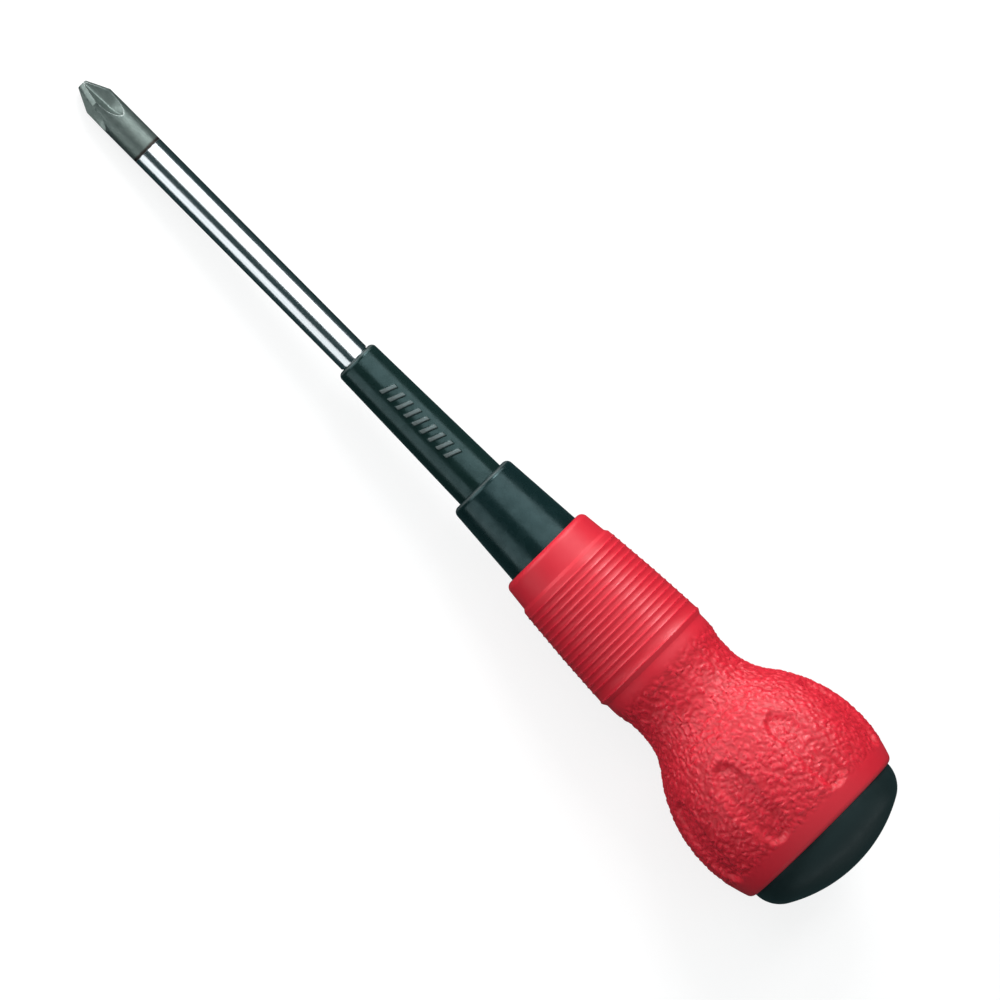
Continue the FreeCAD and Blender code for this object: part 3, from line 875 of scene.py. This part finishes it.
# The photo looks down on the tool from one side, with the tool lying across the picture.
VIEW_TURN = math.radians(26.0)
VIEW_FROM = Vector((0, -math.sin(VIEW_TURN), math.cos(VIEW_TURN)))
VIEW_SIDE = Vector((0, math.cos(VIEW_TURN), math.sin(VIEW_TURN)))
VIEW_ROLL = math.radians(45.19)
VIEW_UP = Vector((-math.sin(VIEW_ROLL), 0, 0)) + VIEW_SIDE * math.cos(VIEW_ROLL)
VIEW_RIGHT = Vector((math.cos(VIEW_ROLL), 0, 0)) + VIEW_SIDE * math.sin(VIEW_ROLL)
VIEW_TARGET = Vector((0.1044, 0, 0)) + VIEW_SIDE * 0.00062
VIEW_DISTANCE = 2.2
VIEW_WIDTH = 0.177
SENSOR = 36.0

BALANCE_X = 0.12
STEEPEST_SLOPE = 0.2
FLOOR_HALF = 1.5
FLOOR_GLOW = 0.82

LIGHT_DISTANCE = 1.0
ROD_FRONT = Vector((0, 0, 0))


def make_camera():
    data = bpy.data.cameras.new("camera")
    data.sensor_width = SENSOR
    data.lens = SENSOR * VIEW_DISTANCE / VIEW_WIDTH
    data.clip_end = 20.0
    camera = bpy.data.objects.new("camera", data)
    turn = Matrix((VIEW_RIGHT, VIEW_UP, VIEW_FROM)).transposed().to_4x4()
    camera.matrix_world = Matrix.Translation(VIEW_TARGET + VIEW_FROM * VIEW_DISTANCE) @ turn
    bpy.context.scene.collection.objects.link(camera)
    bpy.context.scene.camera = camera


def floor_material():
    """A pale table, lit a little from below so that the shadow stays faint."""
    finish = Finish("pale_floor", 0.7)
    finish.to("Base Color", finish.mixed(finish.noise(9.0), (0.2, 0.2, 0.2), (0.22, 0.22, 0.22)))
    finish.shader.inputs["Emission Color"].default_value = (1.0, 1.0, 1.0, 1.0)
    finish.shader.inputs["Emission Strength"].default_value = FLOOR_GLOW
    return finish.material


def resting_slope(pieces):
    """The plane that the tool comes to rest on: the highest one under its balance point."""
    clouds = []
    for piece in pieces:
        flat = np.empty(len(piece.data.vertices) * 3)
        piece.data.vertices.foreach_get("co", flat)
        clouds.append(flat.reshape(-1, 3)[:, (0, 2)])
    cloud = np.vstack(clouds)
    slopes = np.linspace(-STEEPEST_SLOPE, STEEPEST_SLOPE, 401)
    heights = np.array([(cloud[:, 1] - slope * cloud[:, 0]).min() for slope in slopes])
    best = int(np.argmax(heights + slopes * BALANCE_X))
    return slopes[best], heights[best]


def make_floor(pieces, material):
    """The floor under the tool. Reflections don't see it, which keeps the tool's edges dark."""
    slope, height = resting_slope(pieces)
    mesh = bpy.data.meshes.new("floor")
    signs = ((-1, -1), (1, -1), (1, 1), (-1, 1))
    corners = [(i * FLOOR_HALF, j * FLOOR_HALF, height + slope * i * FLOOR_HALF) for i, j in signs]
    mesh.from_pydata(corners, [], [(0, 1, 2, 3)])
    mesh.materials.append(material)
    floor = bpy.data.objects.new("floor", mesh)
    floor.visible_glossy = False
    floor.visible_diffuse = False
    bpy.context.scene.collection.objects.link(floor)


def add_softbox(name, towards, width, height, power, centre=VIEW_TARGET):
    """A rectangular light that faces the tool; its width lies along the tool's axis."""
    data = bpy.data.lights.new(name, "AREA")
    data.shape = "RECTANGLE"
    data.size = width
    data.size_y = height
    data.energy = power
    light = bpy.data.objects.new(name, data)
    back = towards.normalized()
    side = (Vector((1, 0, 0)) - back * back.x).normalized()
    turn = Matrix((side, back.cross(side), back)).transposed().to_4x4()
    light.matrix_world = Matrix.Translation(centre + back * LIGHT_DISTANCE) @ turn
    light.visible_camera = False
    bpy.context.scene.collection.objects.link(light)


def around(degrees, lean=0.0):
    """A direction that many degrees from the camera's towards the picture's upper side.

    A lean tilts it towards the tool's tip, and a negative one towards the cap.
    """
    turn = math.radians(degrees)
    return VIEW_FROM * math.cos(turn) + VIEW_SIDE * math.sin(turn) + Vector((-lean, 0, 0))


def make_lights():
    """Two strips that the rod mirrors as its light bands, two lights on the ball, two fills."""
    add_softbox("overhead", around(39.5), width=0.26, height=1.56, power=4.3, centre=ROD_FRONT)
    add_softbox("key", around(58.0, lean=0.6), width=0.36, height=0.36, power=4.6)
    add_softbox("flank", around(85.0, lean=1.0), width=0.9, height=0.6, power=5.0)
    add_softbox("low_strip", around(-65.5), width=0.26, height=0.87, power=1.4, centre=ROD_FRONT)
    add_softbox("rear_fill", around(20.0, lean=-3.0), width=2.4, height=2.4, power=8.0)
    add_softbox("front_fill", around(-30.0, lean=1.3), width=0.8, height=1.0, power=7.0)
    world = bpy.data.worlds.new("studio")
    world.use_nodes = True
    background = world.node_tree.nodes["Background"]
    background.inputs["Color"].default_value = (0.4, 0.85, 0.9, 1.0)
    background.inputs["Strength"].default_value = 0.08
    bpy.context.scene.world = world
    bpy.context.scene.view_settings.view_transform = "Standard"


def main():
    make_camera()
    collar_black = black_plastic("black_plastic", (0.003, 0.012, 0.012), (0.006, 0.019, 0.02))
    sleeve_black = black_plastic("sleeve_plastic", (0.004, 0.015, 0.013), (0.007, 0.02, 0.018))
    pieces = [
        make_blade(steel()),
        make_sleeve(sleeve_black),
        make_collar(collar_black),
        make_grip(elastomer()),
    ]
    cap_black = black_plastic("cap_plastic", (0.008, 0.014, 0.015), (0.014, 0.023, 0.023), 0.42)
    make_cap(cap_black)
    core_black = black_plastic("core_plastic", (0.015, 0.015, 0.016), (0.022, 0.022, 0.024))
    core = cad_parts["handle_core"]
    core.data.materials.clear()
    core.data.materials.append(core_black)
    make_floor(pieces, floor_material())
    make_lights()


main()
